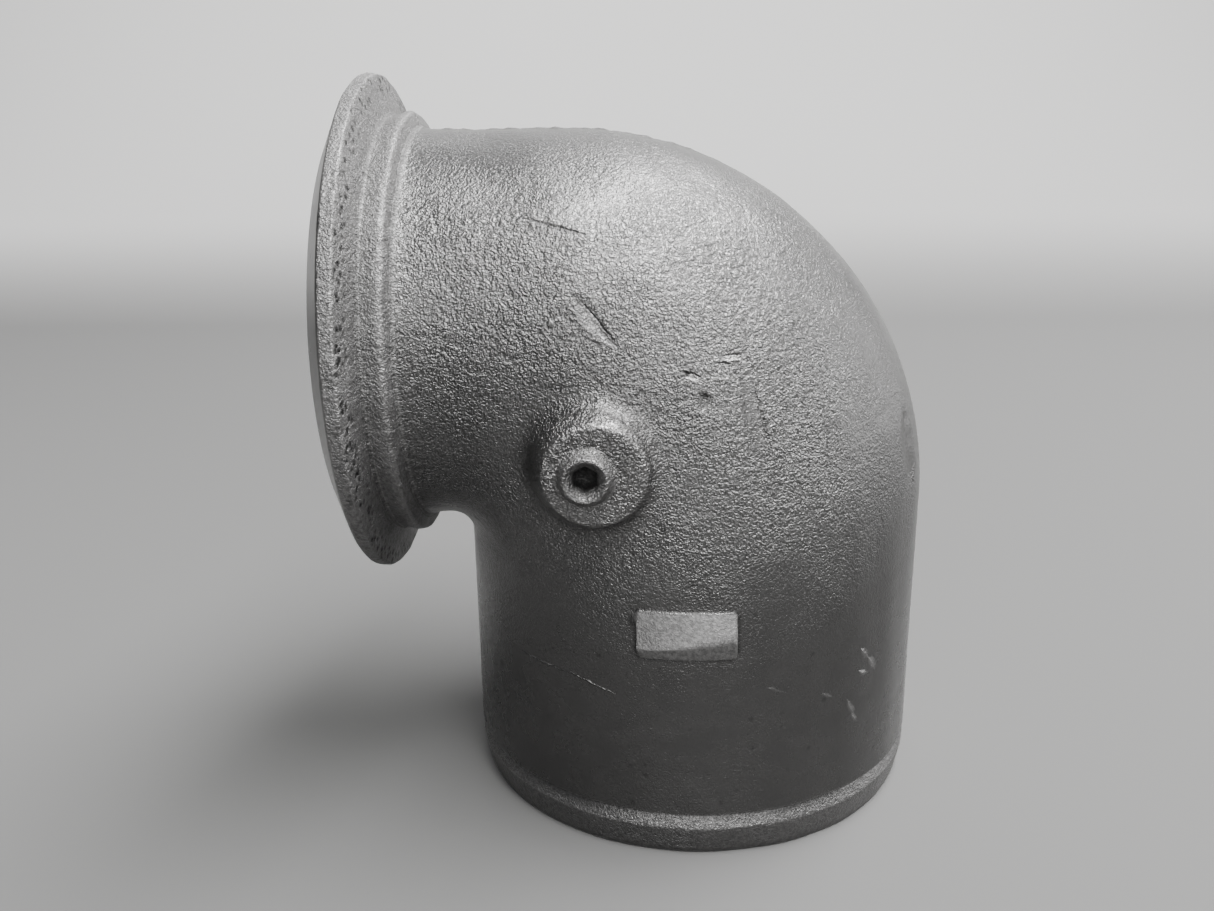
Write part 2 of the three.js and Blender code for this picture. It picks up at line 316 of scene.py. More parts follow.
# Blank pad on the near side of the upright leg. Columns are drawn together at its sides.
PAD_LEFT = AXIS_X - 12.1
PAD_RIGHT = AXIS_X + 6.9
PAD_FOOT_Z, PAD_EDGE_Z, PAD_TOP_Z = PAD_EDGES_Z
PAD_PROUD = 2.6
PAD_TOP_STEP = 0.2
PAD_EDGE_RISE = 2.2
PAD_EDGE_DROP = 0.4
PAD_STRIP_SLOPE = 0.55
PAD_FLARE = 0.45
PAD_CORNER = 1.1
PAD_SOFT_EDGE = 0.3
GATHER = 2.4


def gathered(value, edge, share):
    """Draws the values near an edge towards it: a distance d becomes d times |d| / gather."""
    away = value - edge
    near = edge + away * np.minimum(np.abs(away) / GATHER, 1.0)
    return value + (near - value) * share


on_leg = smooth_step(z, PAD_FOOT_Z - 4.0, PAD_FOOT_Z - 1.0)
on_leg = on_leg * (1.0 - smooth_step(z, PAD_TOP_Z + 0.6, PAD_TOP_Z + 2.0)) * near_side
on_leg = on_leg * (np.arange(len(rows)) >= flange_count + BEND_ROWS - 1)[:, None]
x = gathered(gathered(x, PAD_LEFT, on_leg), PAD_RIGHT, on_leg)
y = np.where(on_leg > 0.0, -side_depth(x, z), y)


def pad_height(x, z):
    """How far the pad stands off the leg: a slope out to its lower edge, then a steep strip.

    It is the lesser of the two heights, each falling evenly from the edge, inside a
    rounded rectangle that widens a little upwards. The edge rises to the right.
    """
    rise = smooth_step(x, PAD_LEFT, PAD_RIGHT + 3.0) * PAD_EDGE_RISE
    edge = PAD_EDGE_Z - PAD_EDGE_DROP + rise
    slope = PAD_TOP_STEP + (PAD_PROUD - PAD_TOP_STEP) * (PAD_TOP_Z - z) / (PAD_TOP_Z - edge)
    strip = PAD_PROUD - PAD_STRIP_SLOPE * (edge - z) / (edge - PAD_FOOT_Z)
    height = np.minimum(slope, strip)
    half_z = (PAD_TOP_Z - PAD_FOOT_Z) / 2
    flare = PAD_FLARE * (z - PAD_FOOT_Z) / (PAD_TOP_Z - PAD_FOOT_Z)
    half_x = (PAD_RIGHT - PAD_LEFT) / 2 + flare
    past_x = np.abs(x - (PAD_LEFT + PAD_RIGHT) / 2 + flare) - half_x + PAD_CORNER
    past_z = np.abs(z - (PAD_TOP_Z + PAD_FOOT_Z) / 2) - half_z + PAD_CORNER
    outside = np.hypot(np.maximum(past_x, 0.0), np.maximum(past_z, 0.0))
    edge_distance = outside + np.minimum(np.maximum(past_x, past_z), 0.0) - PAD_CORNER
    return height * (1.0 - smooth_step(edge_distance, -PAD_SOFT_EDGE, PAD_SOFT_EDGE))


pad_x, pad_z = x, z
lift = np.where(on_leg > 0.0, pad_height(x, z), 0.0)
grow = 1.0 + lift / SPIGOT_RADIUS
x = AXIS_X + (x - AXIS_X) * np.where(lift > 0.0, grow, 1.0)
y = y * np.where(lift > 0.0, grow, 1.0)

points = np.stack([x, y, z], axis=-1)


def grid_normals(points):
    """Unit normals of a grid closed both ways, from the cross of its two slopes."""
    along = np.roll(points, -1, axis=0) - np.roll(points, 1, axis=0)
    sideways = np.roll(points, -1, axis=1) - np.roll(points, 1, axis=1)
    normal = np.cross(along, sideways)
    return normal / np.maximum(np.linalg.norm(normal, axis=-1, keepdims=True), 1e-9)


# The normals are turned to face out: on a row of the bend they point away from its middle.
normals = grid_normals(points)
middle = np.stack(np.broadcast_arrays(centre_x, 0.0 * centre_x, centre_z), axis=-1)
facing = np.sum(normals[flange_count + 20] * (points - middle)[flange_count + 20])
normals = normals * (1.0 if facing > 0 else -1.0)


def waves(points, lengths, seed):
    """A sum of sines in fixed random directions, one for each wavelength, from -1 to 1."""
    random = np.random.RandomState(seed)
    heading = random.normal(size=(len(lengths), 3))
    heading /= np.linalg.norm(heading, axis=1)[:, None]
    waves_per_mm = heading * (2 * math.pi / np.array(lengths))[:, None]
    phase = random.uniform(0, 2 * math.pi, len(lengths))
    return np.sin(points @ waves_per_mm.T + phase).mean(axis=-1)


def stroke(points, start, end, half_width):
    """How deep inside a lens-shaped stroke between two side points (x, z) each point is.

    1 on its line, falling as a parabola to 0 at a half width that itself follows a
    half sine from end to end.
    """
    start, end = np.array(start), np.array(end)
    length = np.linalg.norm(end - start)
    ahead = (end - start) / length
    away = points[..., (0, 2)] - start
    along = away @ ahead / length
    off = away @ np.array([-ahead[1], ahead[0]])
    width = half_width * np.sqrt(np.sin(np.clip(along, 0.0, 1.0) * math.pi)) + 1e-6
    return np.clip(1.0 - (off / width) ** 2, 0.0, 1.0) * (points[..., 1] < 0)


# The face, the cone and the end edge are turned. All the rest outside is as cast, and
# the cast skin sets in over a few rows.
row_number = np.arange(len(rows))[:, None] + 0 * around
turned = (row_number < land_row - 3) | (row_number >= outer_count - 4)
cast = (1.0 - smooth_step(row_number, outer_count - 8, outer_count - 2)) * smooth_step(
    row_number, land_row - 3, land_row + 1
)
cast = cast * is_outer

# Uneven skin of the sand mould, in two sizes of swell.
LONG_SWELL = 0.22
SHORT_SWELL = 0.045
swell = LONG_SWELL * waves(points, (17.0, 23.0, 31.0, 41.0, 13.0), 3)
swell = swell + SHORT_SWELL * waves(points, (5.1, 6.3, 7.7, 8.9, 4.3), 5)

# Ragged flash line where the two half moulds met, along the top of the duct.
SEAM_PROUD = 0.34
SEAM_HALF_WIDTH = 0.9
seam_fade = smooth_step(-points[..., 0], -25.0, -5.0) * (points[..., 2] > INNER_Z)
seam_rag = 0.6 + 0.8 * waves(points, (3.1, 4.7, 7.3), 11)
seam = SEAM_PROUD * np.clip(seam_rag, 0.05, 1.2) * seam_fade
seam = seam * bump_at(points[..., 1], 0.3, SEAM_HALF_WIDTH)

# Handling marks: a lens-shaped gouge with a raised lip, a long shallow scrape, a
# knock on the back of the bend and two dimples. Each is its start and end (x, z),
# half width and depth.
DENTS = [
    ((-12.6, 115.4), (-4.6, 106.0), 1.0, 0.4),
    ((-13.4, 113.6), (-6.2, 105.0), 0.6, -0.25),
    ((18.8, 99.5), (22.6, 83.0), 1.7, 0.15),
    ((54.5, 86.0), (56.8, 72.0), 1.8, 0.5),
    ((11.0, 97.2), (12.6, 94.4), 1.2, 0.4),
    ((8.0, 101.0), (10.4, 100.2), 0.8, 0.3),
]
DENT_WOBBLE = 0.35
ragged = points + DENT_WOBBLE * waves(points, (2.3, 3.1, 4.7), 41)[..., None]
dents = np.zeros_like(x)
rubbed = np.zeros_like(x)
for start, end, half_width, depth in DENTS:
    mark = stroke(ragged, start, end, half_width)
    dents = dents + depth * mark
    rubbed = np.maximum(rubbed, np.minimum(3.0 * mark, 1.0))

# The rim's land is ragged, with a bite out of it here and there.
RIM_RAG = 0.13
RIM_BITE = 0.12
rim_share = smooth_step(row_number, land_row - 4, land_row - 1) * (row_number < flange_count - 6)
rim_rag = RIM_RAG * waves(points, (4.3, 6.1, 9.1, 14.0), 23)
rim_rag = rim_rag - RIM_BITE * smooth_step(waves(points, (6.1, 9.7, 12.9), 29), 0.5, 0.9)
displace = cast * (swell + seam) - cast * dents + rim_share * rim_rag
points = points + normals * displace[..., None]
points[..., 2] = np.maximum(points[..., 2], 0.0)


def edge_turn(points, normals, axis):
    """How sharply the surface turns along one way of the grid, per mm: convex is positive."""
    ahead = np.roll(points, -1, axis=axis) - points
    behind = points - np.roll(points, 1, axis=axis)
    far, near = (np.linalg.norm(v, axis=-1, keepdims=True) + 1e-9 for v in (ahead, behind))
    turn = (ahead / far - behind / near) / ((far + near) / 2)
    return -np.sum(turn * normals, axis=-1)


# Coating is worn off the sharp edges and the boss's edge; hollows get a painted shade.
turn_along = edge_turn(points, normals, 0)
turn_round = edge_turn(points, normals, 1)
convex = np.where(np.abs(turn_along) > np.abs(turn_round), turn_along, turn_round)
off_boss = np.where(in_boss, smooth_step(boss_share, 0.85, 1.0), 1.0)
wear = smooth_step(convex, 0.25, 1.3) * off_boss
hollow_shade = smooth_step(-convex, 0.2, 1.0) * off_boss
boss_distance = boss_share * BOSS_FIELD
wear = np.maximum(wear, 0.75 * in_boss * bump_at(boss_distance, 8.1, 1.2))

# The sand grain is strongest round the boss, and fades down the leg, over the top and
# to the back of the bend. Flange and land are matt, and the clamp slope is pitted.
height = points[..., 2]
grain = 0.2 + 0.8 * smooth_step(height, 38.0, 80.0)
grain = grain * (1.0 - 0.6 * smooth_step(height, 120.0, 141.0))
grain = grain * (1.0 - 0.6 * smooth_step(points[..., 0], 28.0, 55.0))
on_flange = smooth_step(row_number, land_row - 2, land_row) * (row_number < flange_count - 5)
grain = np.where(row_number < flange_count - 5, 0.9 * on_flange, grain * cast)
on_pad = lift > 0.3
grain = grain * (1.0 - 0.5 * rubbed) * np.where(on_pad, 0.45, 1.0)
on_land = is_outer * (row_number > flange_count) * (1.0 - smooth_step(height, 7.0, 10.5))
grain = np.maximum(grain, 0.5 * on_land * (height > 1.0))
matte_and_pad_highlight = np.maximum(on_flange * (row_number < flange_count), 0.6 * on_land)
# The pad's matt share also paints it paler: a painted highlight on its up-tilted face.
matte_and_pad_highlight = np.maximum(matte_and_pad_highlight, 0.9 * on_pad)
# Painted shadow: a band along the pad's lower and left sides is darkened, with the hollows.
painted_pad_shadow = (pad_height(pad_x + 0.7, pad_z + 0.9) > 0.3) * (lift < 0.3) * (on_leg > 0.0)
hollow_shade = np.maximum(hollow_shade, 0.9 * painted_pad_shadow)
pitting = bump_at(row_number, land_row + 8, 5.0) * (row_number < flange_count + 3)


def add_point_values(mesh, name, values):
    """Stores one number per vertex for the material to read."""
    layer = mesh.attributes.new(name, "FLOAT", "POINT")
    layer.data.foreach_set("value", np.ascontiguousarray(values, np.float32).ravel())


def closed_grid_mesh(name, points):
    """A mesh of four-sided faces from a grid that closes both ways; points in mm."""
    row_count, columns = points.shape[:2]
    number = np.arange(row_count * columns).reshape(row_count, columns)
    right = np.roll(number, -1, axis=1)
    quads = np.stack(
        [number, right, np.roll(right, -1, axis=0), np.roll(number, -1, axis=0)], axis=-1
    ).reshape(-1, 4)
    flat = points.reshape(-1, 3)
    a, b, c = (flat[quads[:, k]] for k in (0, 1, 2))
    d = flat[quads[:, 3]]
    volume = np.sum(a * np.cross(b, c)) + np.sum(a * np.cross(c, d))
    quads = quads if volume > 0 else quads[:, ::-1]
    mesh = bpy.data.meshes.new(name)
    mesh.from_pydata((flat * MM).tolist(), [], quads.tolist())
    mesh.polygons.foreach_set("use_smooth", np.ones(len(quads), bool))
    mesh.update()
    return mesh


casting_mesh = closed_grid_mesh("elbow_body", points)
skin = {
    "wear": wear,
    "hollow_shade": hollow_shade,
    "grain": grain,
    "turned": turned * is_outer,
    "pitting": pitting,
    "matte_and_pad_highlight": matte_and_pad_highlight,
}
for name, values in skin.items():
    add_point_values(casting_mesh, name, values)
casting = bpy.data.objects.new("elbow_body", casting_mesh)
bpy.context.scene.collection.objects.link(casting)

# The port is drilled a little to the left of the boss's middle.
PORT_X = BOSS_X - 1.6
PORT_RADIUS = 5.05
PORT_SIDES = 48
DRILL_FROM_Y = -60.0
DRILL_TO_Y = -34.0


def drill_port(target, radius, start_y, end_y):
    """Cuts a round hole along Y through the boss, and takes the cutter away again."""
    turn = np.linspace(0.0, 2 * math.pi, PORT_SIDES, endpoint=False)
    ring = np.stack([PORT_X + radius * np.cos(turn), 0 * turn, BOSS_Z + radius * np.sin(turn)], 1)
    ends = [ring + [0.0, start_y, 0.0], ring + [0.0, end_y, 0.0]]
    count = len(turn)
    first = np.arange(count)
    second = np.roll(first, -1)
    sides = np.stack([first, first + count, second + count, second], 1).tolist()
    caps = [first.tolist(), (first[::-1] + count).tolist()]
    mesh = bpy.data.meshes.new("drill")
    mesh.from_pydata((np.vstack(ends) * MM).tolist(), [], sides + caps)
    mesh.update()
    drill = bpy.data.objects.new("drill", mesh)
    bpy.context.scene.collection.objects.link(drill)
    cut = target.modifiers.new("port", "BOOLEAN")
    cut.operation = "DIFFERENCE"
    cut.solver = "EXACT"
    cut.object = drill
    bpy.context.view_layer.update()
    shape = target.evaluated_get(bpy.context.evaluated_depsgraph_get())
    target.modifiers.clear()
    done = bpy.data.meshes.new_from_object(shape)
    target.data = done
    bpy.data.objects.remove(drill)
    return done


cut_mesh = drill_port(casting, PORT_RADIUS, DRILL_FROM_Y, DRILL_TO_Y)
cut_mesh.set_sharp_from_angle(angle=math.radians(50))


class Feed:
    """One output of a material's nodes. Arithmetic on it adds Math nodes."""

    def __init__(self, tree, socket=None):
        self.tree = tree
        self.socket = socket

    def node(self, kind, settings=None, sockets=None, output=0):
        """A node of this kind, with its settings, then its sockets' values or links."""
        made = self.tree.nodes.new(kind)
        for name, value in (settings or {}).items():
            setattr(made, name, value)
        for key, value in (sockets or {}).items():
            if isinstance(value, Feed):
                self.tree.links.new(value.socket, made.inputs[key])
            else:
                made.inputs[key].default_value = value
        return Feed(self.tree, made.outputs[output])

    def math(self, operation, first, second=0.0, clamp=False):
        """A Math node on one or two values."""
        settings = {"operation": operation, "use_clamp": clamp}
        return self.node("ShaderNodeMath", settings, {0: first, 1: second})

    def __add__(self, other):
        return self.math("ADD", self, other)

    def __radd__(self, other):
        return self.math("ADD", other, self)

    def __sub__(self, other):
        return self.math("SUBTRACT", self, other)

    def __rsub__(self, other):
        return self.math("SUBTRACT", other, self)

    def __mul__(self, other):
        return self.math("MULTIPLY", self, other)

    def __rmul__(self, other):
        return self.math("MULTIPLY", other, self)

    def __abs__(self):
        return self.math("ABSOLUTE", self)

    def clamped(self):
        """The value held between 0 and 1."""
        return self.math("ADD", self, 0.0, clamp=True)

    def ease(self, start, end, low=0.0, high=1.0):
        """low before start and high after end, with a smooth step between them."""
        sockets = {"Value": self, "From Min": start, "From Max": end, "To Min": low, "To Max": high}
        return self.node("ShaderNodeMapRange", {"interpolation_type": "SMOOTHSTEP"}, sockets)

    def noise(self, place, scale, detail=2.0, roughness=0.5, distortion=0.0):
        """Noise of this many cycles per metre at a place, from 0 to 1."""
        sockets = {"Vector": place, "Scale": scale, "Detail": detail}
        sockets.update({"Roughness": roughness, "Distortion": distortion})
        return self.node("ShaderNodeTexNoise", None, sockets)

    def value_of(self, name):
        """A number stored on the mesh's vertices."""
        return self.node("ShaderNodeAttribute", {"attribute_name": name}, None, "Fac")

    def blend(self, first, second, share):
        """A mix of two colours."""
        sockets = {"Factor": share, "A": first, "B": second}
        return self.node("ShaderNodeMix", {"data_type": "RGBA"}, sockets, 2)

    def place_in_object(self):
        """The place on the object for noise, and its x, y and z in mm."""
        place = self.node("ShaderNodeTexCoord", None, None, "Object")
        in_mm = self.node("ShaderNodeVectorMath", {"operation": "SCALE"}, {0: place, "Scale": 1.0 / MM})
        x, y, z = (self.node("ShaderNodeSeparateXYZ", None, {0: in_mm}, axis) for axis in (0, 1, 2))
        return place, x, y, z

    def bump(self, height_mm):
        """The surface's normal, tilted as a height in mm says."""
        return self.node("ShaderNodeBump", None, {"Strength": 1.0, "Distance": MM, "Height": height_mm})


def new_material(name):
    """A material with only its shader and output; returns it, a feed and the shader."""
    material = bpy.data.materials.new(name)
    material.use_nodes = True
    shader = material.node_tree.nodes["Principled BSDF"]
    return material, Feed(material.node_tree), shader


def wire(shader, values):
    """Links each value to the shader's input of that name."""
    for name, value in values.items():
        value.tree.links.new(value.socket, shader.inputs[name])


def grey(value):
    """A near neutral grey with a trace of warmth, as a colour."""
    return (value * 1.0, value * 0.985, value * 0.975, 1.0)


def pit_field(feed, place, scale, chance, size):
    """Scattered round pits: 1 in the middle of a chosen cell, 0 beyond its size."""
    settings = {"feature": "F1"}
    sockets = {"Vector": place, "Scale": scale, "Randomness": 1.0}
    near = feed.node("ShaderNodeTexVoronoi", settings, sockets, "Distance")
    colour = feed.node("ShaderNodeTexVoronoi", settings, sockets, "Color")
    split = feed.node("ShaderNodeSeparateColor", None, {"Color": colour}, 0)
    chosen = feed.math("LESS_THAN", split, chance)
    return near.ease(0.2 * size, size, 1.0, 0.0) * chosen


def scratch(x, z, start, end, half_width):
    """A pointed V-shaped cut between two side points (x, z) in mm, 1 at its deepest.

    It is four times the share along it times one less that share, less the distance
    off its line in half widths.
    """
    dx, dz = end[0] - start[0], end[1] - start[1]
    length = math.hypot(dx, dz)
    along = x * (dx / length**2) + z * (dz / length**2)
    along = along - (start[0] * dx + start[1] * dz) / length**2
    off = x * (-dz / (length * half_width)) + z * (dx / (length * half_width))
    off = off - (start[1] * dx - start[0] * dz) / (length * half_width)
    return (along * (4.0 - along * 4.0) - abs(off)).clamped()


casting_coat, feed, shader = new_material("coated_cast_iron")
place, side_x, side_y, side_z = feed.place_in_object()
near_feed = feed.math("LESS_THAN", side_y, NEAR_SIDE_Y / 2)
wear_feed = feed.value_of("wear")
hollow_shade_feed = feed.value_of("hollow_shade")
grain_feed = feed.value_of("grain")
turned_feed = feed.value_of("turned")
pitting_feed = feed.value_of("pitting")
matte_and_pad_highlight_feed = feed.value_of("matte_and_pad_highlight")

# Heights in mm of the sand's grain, from coarse to fine, and depths of pits, of the clamp
# slope's craters, of cuts and of scars. Then the greys of the coat and of worn edges.
SAND_HEIGHT = 0.17
COARSE_HEIGHT = 0.13
FINE_HEIGHT = 0.008
PIT_DEPTH = 0.12
CRACK_DEPTH = 0.35
CUT_DEPTH = 0.2
SCAR_DEPTH = 0.07
BASE_GREY = 0.062
WORN_GREY = 0.24

sand = feed.noise(place, 2300.0, 1.0, 0.5, 0.6).ease(0.34, 0.66)
sand_fine = feed.noise(place, 4200.0, 2.0, 0.6)
sand_patch = feed.noise(place, 75.0, 2.0).ease(0.3, 0.7, 0.6, 1.2)
coarse = feed.noise(place, 900.0, 1.0, 0.5).ease(0.3, 0.7)
pits = pit_field(feed, place, 330.0, 0.2, 0.28) * (0.35 + pitting_feed)
cracks = pit_field(feed, place, 620.0, 0.5, 0.62) * pitting_feed
speck = feed.noise(place, 1300.0, 3.0, 0.7).ease(0.36, 0.64) - 0.5
grain_height = (sand * SAND_HEIGHT + coarse * COARSE_HEIGHT) * grain_feed * sand_patch

# Nicks, slits and scratches: start and end (x, z) in mm, half width, and depth as a
# share of the cut depth. A depth below 0 is a raised, bright scuff. The slit is one more
# cut, less wavy than the rest, and the scar patch has two ends and a half width too.
CUTS = [
    ((7.2, 101.6), (11.2, 100.1), 0.6, 1.8),
    ((15.0, 103.8), (18.9, 103.9), 0.5, 1.6),
    ((13.4, 102.6), (17.0, 102.4), 0.4, 1.5),
    ((11.0, 97.0), (13.2, 96.4), 0.6, 1.2),
    ((7.6, 100.4), (11.6, 99.0), 0.5, -1.2),
    ((14.6, 102.9), (18.9, 103.0), 0.4, -1.0),
    ((-12.6, 115.9), (-2.9, 104.7), 0.35, 0.7),
    ((20.6, 99.8), (25.0, 84.0), 0.5, 1.2),
    ((28.0, 83.0), (31.6, 75.6), 0.5, 0.5),
    ((-26.8, 39.1), (-14.2, 38.3), 0.28, -0.9),
    ((-16.0, 38.9), (-5.2, 35.8), 0.28, -0.9),
    ((44.6, 41.4), (46.6, 38.0), 0.8, -1.6),
    ((46.4, 38.6), (48.6, 34.4), 0.9, -1.6),
    ((44.2, 36.2), (46.8, 34.6), 0.6, -1.4),
    ((41.8, 30.6), (43.8, 26.4), 0.8, -1.4),
    ((42.8, 27.4), (44.6, 24.2), 0.6, -1.4),
    ((24.2, 38.2), (28.2, 36.4), 0.5, -0.7),
    ((35.4, 34.2), (38.8, 32.6), 0.5, -0.7),
]
SLIT = ((-23.0, 128.8), (-9.4, 125.4), 0.5, 1.6)
SCAR_PATCH = ((9.0, 125.0), (27.0, 116.0), 5.5)

# Cuts are wavy, and only on the near side. Within the patch, fine scars follow the lines
# where a wide noise passes its middle.
wobble = feed.noise(place, 600.0, 2.0, 0.5) * 0.6 - 0.3
wobbly_x, wobbly_z = side_x + wobble, side_z + wobble
cuts = scratch(side_x + wobble * 0.5, side_z + wobble * 0.5, *SLIT[:3]) * SLIT[3]
for start, end, half_width, depth in CUTS:
    cuts = scratch(wobbly_x, wobbly_z, start, end, half_width) * depth + cuts
cuts = cuts * near_feed
scar_zone = scratch(side_x, side_z, *SCAR_PATCH) * near_feed
scar_line = 1.0 - abs(feed.noise(place, 170.0, 1.0, 0.5) - 0.52).ease(0.004, 0.022)
scars = (scar_zone * 4.0).clamped() * scar_line
height_mm = grain_height + sand_fine * FINE_HEIGHT - pits * PIT_DEPTH - cracks * CRACK_DEPTH
height_mm = height_mm - cuts * CUT_DEPTH - scars * SCAR_DEPTH

# Shade, from 0 to 1: it varies in wide and small clouds, and is paler on matt places and on
# sand grains; on the pad the matt share is a painted highlight. It is also painted paler on
# the upper part, as light from above, and darker, as painted shade, in hollows, under the
# pad, in pits and cracks, and in cuts and scars.
tone = feed.noise(place, 28.0, 3.0, 0.6)
tone_small = feed.noise(place, 190.0, 2.0, 0.6)
# Share of height: it paints the upper part paler, as light from above, and makes it rougher.
upper = side_z.ease(30.0, 85.0)
shade = BASE_GREY + upper * 0.02 + matte_and_pad_highlight_feed * 0.032 + tone * 0.04 + tone_small * 0.015
shade = shade + sand * grain_feed * 0.03
shade = shade + speck * matte_and_pad_highlight_feed * 0.07 - hollow_shade_feed * 0.045 - pits * 0.06 - cracks * 0.14
shade = shade - feed.math("MINIMUM", cuts, 0.5) * 0.08 - scars * 0.02
worn = (wear_feed * feed.noise(place, 160.0, 3.0, 0.65).ease(0.3, 0.65, 0.35, 1.0)).clamped()
coat_colour = feed.blend(grey(0.0), grey(1.0), shade)
body_colour = feed.blend(coat_colour, grey(WORN_GREY), worn * 0.5)
rough = 0.23 + upper * 0.05 + tone_small * 0.08 - worn * 0.04 + hollow_shade_feed * 0.1
rough = rough - turned_feed * 0.03 + matte_and_pad_highlight_feed * 0.2
metal = 0.98 - matte_and_pad_highlight_feed * 0.12
normal = feed.bump(height_mm)
wire(shader, {"Base Color": body_colour, "Roughness": rough, "Metallic": metal, "Normal": normal})
casting.data.materials.clear()
casting.data.materials.append(casting_coat)

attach(casting, "elbow")
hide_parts("elbow_casting")


# -------------------------------------------------------------------- port plug
# Steel socket plug screwed into the boss, 9.5 mm across and 12 mm long, coated over
# together with the casting: a lead-in, a six-sided socket and a bead of coating
# round its root that covers the gap at the port.

plug_low, plug_high = (np.array(corner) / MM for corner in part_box("port_plug"))
PLUG_RADIUS = (plug_high[0] - plug_low[0]) / 2
PLUG_X = (plug_low[0] + plug_high[0]) / 2
PLUG_Z = (plug_low[2] + plug_high[2]) / 2
PLUG_OUTER_Y = plug_low[1]
PLUG_INNER_Y = plug_high[1]
SOCKET_HALF = 2.2
SOCKET_DEPTH = 5.5
LEAD_IN_RADIUS = 3.75
LEAD_IN_DEPTH = 1.6
BEAD_RADIUS = 6.0

# Each ring is its distance out along -Y from the inner end, its radius, and how
# six-sided it is. The boss's face comes up to the boss height.
plug_length = PLUG_INNER_Y - PLUG_OUTER_Y
boss_height = PLUG_INNER_Y + BOSS_FACE
plug_rings = np.array(
    [
        (0.0, 0.02, 0.0),
        (0.0, PLUG_RADIUS - 0.9, 0.0),
        (0.1, PLUG_RADIUS - 0.7, 0.0),
        (0.7, PLUG_RADIUS - 0.1, 0.0),
        (0.9, PLUG_RADIUS, 0.0),
        (boss_height - 0.3, PLUG_RADIUS, 0.0),
        (boss_height + 0.1, PLUG_RADIUS + 0.05, 0.0),
        (boss_height + 0.1, BEAD_RADIUS, 0.0),
        (boss_height + 0.16, BEAD_RADIUS - 0.02, 0.0),
        (boss_height + 0.3, PLUG_RADIUS + 0.8, 0.0),
        (boss_height + 0.65, PLUG_RADIUS + 0.5, 0.0),
        (boss_height + 1.1, PLUG_RADIUS + 0.25, 0.0),
        (boss_height + 1.6, PLUG_RADIUS + 0.05, 0.0),
        (plug_length - 0.9, PLUG_RADIUS - 0.1, 0.0),
        (plug_length - 0.45, PLUG_RADIUS - 0.25, 0.0),
        (plug_length - 0.12, PLUG_RADIUS - 0.5, 0.0),
        (plug_length, PLUG_RADIUS - 0.75, 0.0),
        (plug_length - 0.12, LEAD_IN_RADIUS, 0.0),
        (plug_length - LEAD_IN_DEPTH * 0.6, SOCKET_HALF + 0.7, 0.1),
        (plug_length - LEAD_IN_DEPTH, SOCKET_HALF + 0.2, 0.5),
        (plug_length - LEAD_IN_DEPTH - 0.4, SOCKET_HALF, 1.0),
        (plug_length - SOCKET_DEPTH + 0.3, SOCKET_HALF, 1.0),
        (plug_length - SOCKET_DEPTH, SOCKET_HALF - 0.25, 1.0),
        (plug_length - SOCKET_DEPTH - 0.5, 0.02, 1.0),
    ]
)
PLUG_COLUMNS = 96
STEPS_BETWEEN_RINGS = 3


def ring_line(rings, steps):
    """The rings with more rings put evenly between them."""
    count = len(rings)
    fine = np.linspace(0.0, count - 1, (count - 1) * steps + 1)
    return np.stack([np.interp(fine, np.arange(count), rings[:, k]) for k in range(3)], axis=1)


def plug_points(rings, turn):
    """Points of a turned form whose rings may be hexagons.

    A hexagon's radius is its half width over the cosine of the angle from the middle
    of the nearest flat. Each ring mixes the circle and the hexagon by its share.
    """
    flat_angle = (turn + math.pi / 6) % (math.pi / 3) - math.pi / 6
    hexagon = 1.0 / np.cos(flat_angle)
    radius = rings[:, 1:2] * (1.0 + rings[:, 2:3] * (hexagon[None, :] - 1.0))
    x = PLUG_X + radius * np.cos(turn)
    z = PLUG_Z + radius * np.sin(turn)
    y = PLUG_INNER_Y - rings[:, :1] + 0.0 * turn[None, :]
    return np.stack([x, y, z], axis=-1)


def capped_tube_mesh(name, points):
    """A tube of rings closed round, with a point at each end; points in mm."""
    rings, columns = points.shape[:2]
    number = np.arange(rings * columns).reshape(rings, columns)
    here, right = number[:-1], np.roll(number[:-1], -1, axis=1)
    quads = np.stack([here, right, right + columns, here + columns], axis=-1).reshape(-1, 4)
    flat = np.vstack([points.reshape(-1, 3), points[0].mean(0), points[-1].mean(0)])
    first, last = number[0], number[-1]
    base = rings * columns
    start = np.stack([np.full(columns, base), np.roll(first, -1), first], 1)
    end = np.stack([np.full(columns, base + 1), last, np.roll(last, -1)], 1)
    faces = quads.tolist() + start.tolist() + end.tolist()
    corner = flat[quads]
    volume = np.sum(corner[:, 0] * np.cross(corner[:, 1], corner[:, 2]))
    volume += np.sum(corner[:, 0] * np.cross(corner[:, 2], corner[:, 3]))
    faces = faces if volume > 0 else [face[::-1] for face in faces]
    mesh = bpy.data.meshes.new(name)
    mesh.from_pydata((flat * MM).tolist(), [], faces)
    mesh.polygons.foreach_set("use_smooth", np.ones(len(faces), bool))
    mesh.update()
    return mesh


plug_turn = np.linspace(0.0, 2 * math.pi, PLUG_COLUMNS, endpoint=False)
plug_grid = plug_points(ring_line(plug_rings, STEPS_BETWEEN_RINGS), plug_turn)
plug_mesh = capped_tube_mesh("socket_plug", plug_grid)
plug_mesh.set_sharp_from_angle(angle=math.radians(42))
plug = bpy.data.objects.new("socket_plug", plug_mesh)
bpy.context.scene.collection.objects.link(plug)

plug_coat, feed, shader = new_material("coated_plug_steel")
place, plug_x, plug_y, plug_z = feed.place_in_object()
plug_sand = feed.noise(place, 1900.0, 2.0, 0.6).ease(0.35, 0.65)
plug_coarse = feed.noise(place, 750.0, 2.0, 0.6)
plug_height = plug_sand * 0.2 + plug_coarse * 0.3
across_x, across_z = plug_x - float(PLUG_X), plug_z - float(PLUG_Z)
off_axis = feed.math("SQRT", across_x * across_x + across_z * across_z)
